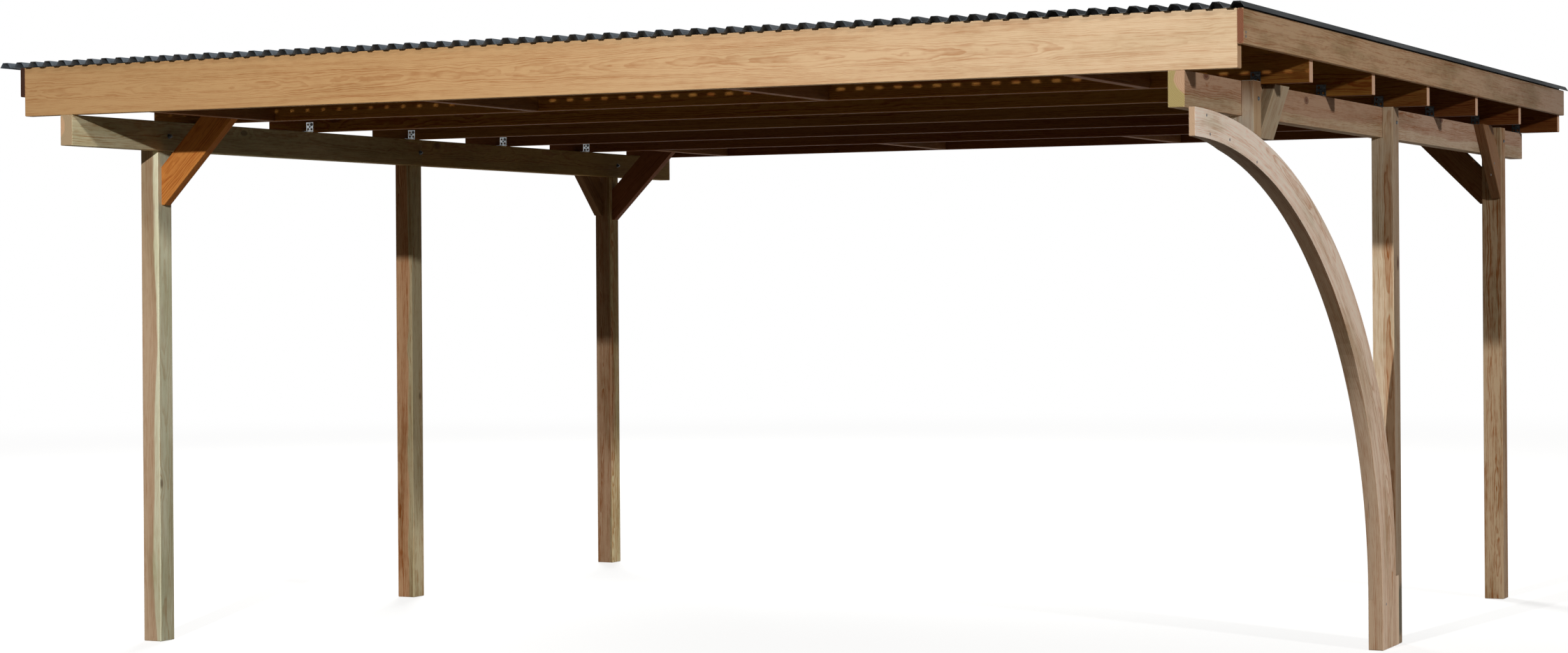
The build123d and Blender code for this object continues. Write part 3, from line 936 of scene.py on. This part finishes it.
class CARPORT_OT_brackets(bpy.types.Operator):
    """Make the perforated angle brackets that hold the rafters"""
    bl_idname = "carport.brackets"
    bl_label = "Rafter brackets"

    def execute(self, context):
        hole = context.scene.carport_steel.bracket_hole
        for side in SIDES:
            node = f"{side}_rafter_brackets"
            low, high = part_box(node)
            leg = high.z - low.z
            width = high.x - low.x
            holes = [(x * width, y * leg, hole * share) for x, y, share in BRACKET_HOLES]
            standing = [(x, y - BRACKET_THICK, radius) for x, y, radius in holes]
            lying = [(x, leg - y, radius) for x, y, radius in holes]
            piece = Piece(f"{side}_brackets")
            heads = Piece(f"{side}_bracket_screws")
            for number in range(2, RAFTER_COUNT + 1):
                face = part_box(f"rafter_{number}")[0].y
                # The left row begins further back than the right one
                if face < low.y:
                    continue
                corner = (low.x, face, low.z + BRACKET_THICK)
                plate(piece, corner, WIDE, UP, (width, leg - BRACKET_THICK), standing)
                plate(piece, (low.x, face - leg, low.z), WIDE, DEEP, (width, leg), lying)
                for x, y, radius in (holes[2], holes[4]):
                    head = [(radius * 1.35, 0), (radius * 1.2, 0.0016), (radius * 0.5, 0.0024)]
                    front = (low.x + x, face - BRACKET_THICK, low.z + y)
                    heads.turned(front, (0, -1, 0), head, 12)
                    heads.turned((low.x + x, face - y, low.z + BRACKET_THICK), UP, head, 12)
            made = piece.finish(zinc_material(*BRACKET_LOOKS[side]), smooth=False)
            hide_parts(node)
            heads.finish(dull_zinc())
        return {"FINISHED"}


def bolt_head(piece, centre, axis, radius):
    """A carriage bolt's domed head."""
    dome = [(radius, 0), (radius * 0.98, 0.0012), (radius * 0.8, 0.0035), (radius * 0.45, 0.0052)]
    piece.turned(centre, axis, dome)


def nut(piece, centre, axis, washer):
    """A washer with a nut and the bolt's end."""
    piece.turned(centre, axis, [(washer, 0), (washer, 0.002)])
    piece.turned(centre, axis, [(0.0085, 0.002), (0.0085, 0.009), (0.0075, 0.0098)], 6)
    piece.turned(centre, axis, [(0.005, 0.0098), (0.005, 0.014), (0.0042, 0.0148)], 12)


class CARPORT_OT_bolts(bpy.types.Operator):
    """Set the bolts that hold the purlins in the notched post heads"""
    bl_idname = "carport.bolts"
    bl_label = "Bolts"

    def execute(self, context):
        steel = context.scene.carport_steel
        heads = Piece("bolt_heads")
        nuts = Piece("bolt_nuts")
        for name in BOLTED:
            low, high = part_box(name)
            side = name.split("_")[0]
            purlin_low, purlin_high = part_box(f"{side}_purlin_front")
            y = (low.y + high.y) / 2 + BOLT_ASIDE
            z = (purlin_low.z + purlin_high.z) / 2
            if side == "left":
                out, outer, inner = -1, low.x, purlin_high.x
            else:
                out, outer, inner = 1, high.x, purlin_low.x
            bolt_head(heads, (outer, y, z), (out, 0, 0), steel.bolt_head)
            nut(nuts, (inner, y, z), (-out, 0, 0), steel.washer)
        heads.finish(dull_zinc())
        nuts.finish(dull_zinc(), smooth=False)
        return {"FINISHED"}


class CARPORT_OT_timber_screws(bpy.types.Operator):
    """Drive the screws of the back brace on the right, the arch and the side board's front end"""
    bl_idname = "carport.timber_screws"
    bl_label = "Timber screws"

    def execute(self, context):
        radius = context.scene.carport_steel.screw_head
        head = [(radius, 0), (radius * 0.9, 0.0006), (0, 0.0008)]
        low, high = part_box("right_back_side_brace")
        spots = [(high.x, high.y - back, low.z + rise) for back, rise in BRACE_SCREWS]
        low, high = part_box("entry_arch")
        spots += [(high.x, low.y + back, rise) for back, rise in ARCH_SCREWS]
        low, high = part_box("right_side_board")
        spots += [(high.x, low.y + back, low.z + rise) for back, rise in BOARD_SCREWS]
        piece = Piece("timber_screws")
        for spot in spots:
            piece.turned(spot, WIDE, head, 14)
        piece.finish(dull_zinc())
        return {"FINISHED"}


def area_lamp(name, place, power, size):
    """A round area lamp that looks at the carport's middle."""
    data = bpy.data.lights.new(name, "AREA")
    data.shape = "DISK"
    data.size = size
    data.energy = power
    lamp = bpy.data.objects.new(name, data)
    bpy.context.scene.collection.objects.link(lamp)
    lamp.location = place
    aim = Vector((0, 0, 1.6)) - Vector(place)
    lamp.rotation_euler = aim.to_track_quat("-Z", "Y").to_euler()


def seen_directly(r):
    """Whether a ray comes straight from the camera, or by way of metal or glass."""
    path = r.add("ShaderNodeLightPath", {}).outputs
    seen = r.math("MAXIMUM", path["Is Camera Ray"], path["Is Glossy Ray"])
    return r.math("MAXIMUM", seen, path["Is Transmission Ray"])


def floor_material(colour):
    """A pale floor that keeps the shadow, fades into the white beyond, and throws little light up."""
    material = bpy.data.materials.new("floor")
    material.use_nodes = True
    nodes = material.node_tree.nodes
    r = Recipe(material.node_tree)
    nodes.remove(nodes["Principled BSDF"])
    far = r.ramp(r.measure("LENGTH", r.place()), 5.0, 22.0)
    plain = r.add("ShaderNodeBsdfDiffuse", {"Color": (*tinted(colour, (0.17, 0.14, 0.1)), 1)})
    lit = r.add("ShaderNodeBsdfDiffuse", {"Color": (*tinted(colour, (0.5, 0.5, 0.5)), 1)})
    glow = r.add("ShaderNodeEmission", {"Color": (1, 1, 1, 1), "Strength": 0.76})
    white = r.add("ShaderNodeEmission", {"Color": (1, 1, 1, 1), "Strength": 1.0})
    pale = r.add("ShaderNodeAddShader", {0: lit.outputs[0], 1: glow.outputs[0]})
    faded = r.add("ShaderNodeMixShader", {0: far, 1: pale.outputs[0], 2: white.outputs[0]})
    shown_inputs = {0: seen_directly(r), 1: plain.outputs[0], 2: faded.outputs[0]}
    shown = r.add("ShaderNodeMixShader", shown_inputs)
    r.plug(nodes["Material Output"].inputs["Surface"], shown.outputs[0])
    return material


def make_sky(strength):
    """White where it is seen, and even and soft as light."""
    world = bpy.data.worlds.new("studio")
    world.use_nodes = True
    r = Recipe(world.node_tree)
    share = seen_directly(r)
    soft = r.add("ShaderNodeBackground", {"Color": (1.0, 0.84, 0.64, 1), "Strength": strength})
    white = r.add("ShaderNodeBackground", {"Color": (1, 1, 1, 1), "Strength": 1.0})
    both = r.add("ShaderNodeMixShader", {0: share, 1: soft.outputs[0], 2: white.outputs[0]})
    r.plug(world.node_tree.nodes["World Output"].inputs["Surface"], both.outputs[0])
    bpy.context.scene.world = world


def make_camera():
    """The camera at the photograph's view."""
    data = bpy.data.cameras.new("camera")
    data.sensor_width = 36
    data.lens = CAMERA_LENS
    data.shift_x, data.shift_y = CAMERA_SHIFT
    data.clip_end = 400
    camera = bpy.data.objects.new("camera", data)
    bpy.context.scene.collection.objects.link(camera)
    turn = Matrix.Rotation(CAMERA_TURN, 4, "Z") @ Matrix.Rotation(math.pi / 2, 4, "X")
    turn = turn @ Matrix.Rotation(CAMERA_ROLL, 4, "Z")
    camera.matrix_world = Matrix.Translation(CAMERA_PLACE) @ turn
    bpy.context.scene.camera = camera


class CARPORT_OT_stage(bpy.types.Operator):
    """Make the pale floor, the even sky, the lamps and the camera"""
    bl_idname = "carport.stage"
    bl_label = "Stage"

    def execute(self, context):
        settings = context.scene.carport_stage
        size = settings.floor_size / 2
        corners = [(-size, -size, 0), (size, -size, 0), (size, size, 0), (-size, size, 0)]
        mesh = bpy.data.meshes.new("floor")
        mesh.from_pydata(corners, [], [(0, 1, 2, 3)])
        floor = bpy.data.objects.new("floor", mesh)
        context.scene.collection.objects.link(floor)
        mesh.materials.append(floor_material(settings.floor_colour))
        make_sky(settings.sky)
        area_lamp("front lamp", (1.185, -10.5, 4.05), settings.key_power, size=0.14)
        area_lamp("side lamp", (25.0, -11.3, 9.1), settings.side_power, size=1.5)
        area_lamp("back lamp", (-7.5, 10.5, 9.0), settings.back_power, size=5.0)
        make_camera()
        context.scene.view_settings.view_transform = "Standard"
        return {"FINISHED"}


STEPS = (
    CARPORT_OT_posts,
    CARPORT_OT_purlins,
    CARPORT_OT_rafters,
    CARPORT_OT_noggings,
    CARPORT_OT_side_boards,
    CARPORT_OT_braces,
    CARPORT_OT_arch,
    CARPORT_OT_roof_sheets,
    CARPORT_OT_roof_screws,
    CARPORT_OT_brackets,
    CARPORT_OT_bolts,
    CARPORT_OT_timber_screws,
    CARPORT_OT_stage,
)
SETTINGS = (
    ("carport_timber", CarportTimber),
    ("carport_steel", CarportSteel),
    ("carport_stage", CarportStage),
)


class CARPORT_PT_panel(bpy.types.Panel):
    """The carport's steps and settings"""
    bl_idname = "CARPORT_PT_panel"
    bl_label = "Carport"
    bl_space_type = "VIEW_3D"
    bl_region_type = "UI"
    bl_category = "Carport"

    def draw(self, context):
        for step in STEPS:
            self.layout.operator(step.bl_idname)
        for name, group in SETTINGS:
            box = self.layout.box()
            for key in group.__annotations__:
                box.prop(getattr(context.scene, name), key)


def register():
    """Makes the settings, the operators and the panel known."""
    for name, group in SETTINGS:
        bpy.utils.register_class(group)
        setattr(bpy.types.Scene, name, PointerProperty(type=group))
    for item in (*STEPS, CARPORT_PT_panel):
        bpy.utils.register_class(item)


def unregister():
    """Takes them away again."""
    for item in (CARPORT_PT_panel, *reversed(STEPS)):
        bpy.utils.unregister_class(item)
    for name, group in reversed(SETTINGS):
        delattr(bpy.types.Scene, name)
        bpy.utils.unregister_class(group)


def main():
    """Runs every step in order."""
    register()
    for step in STEPS:
        family, name = step.bl_idname.split(".")
        getattr(getattr(bpy.ops, family), name)()


if __name__ == "__main__":
    main()
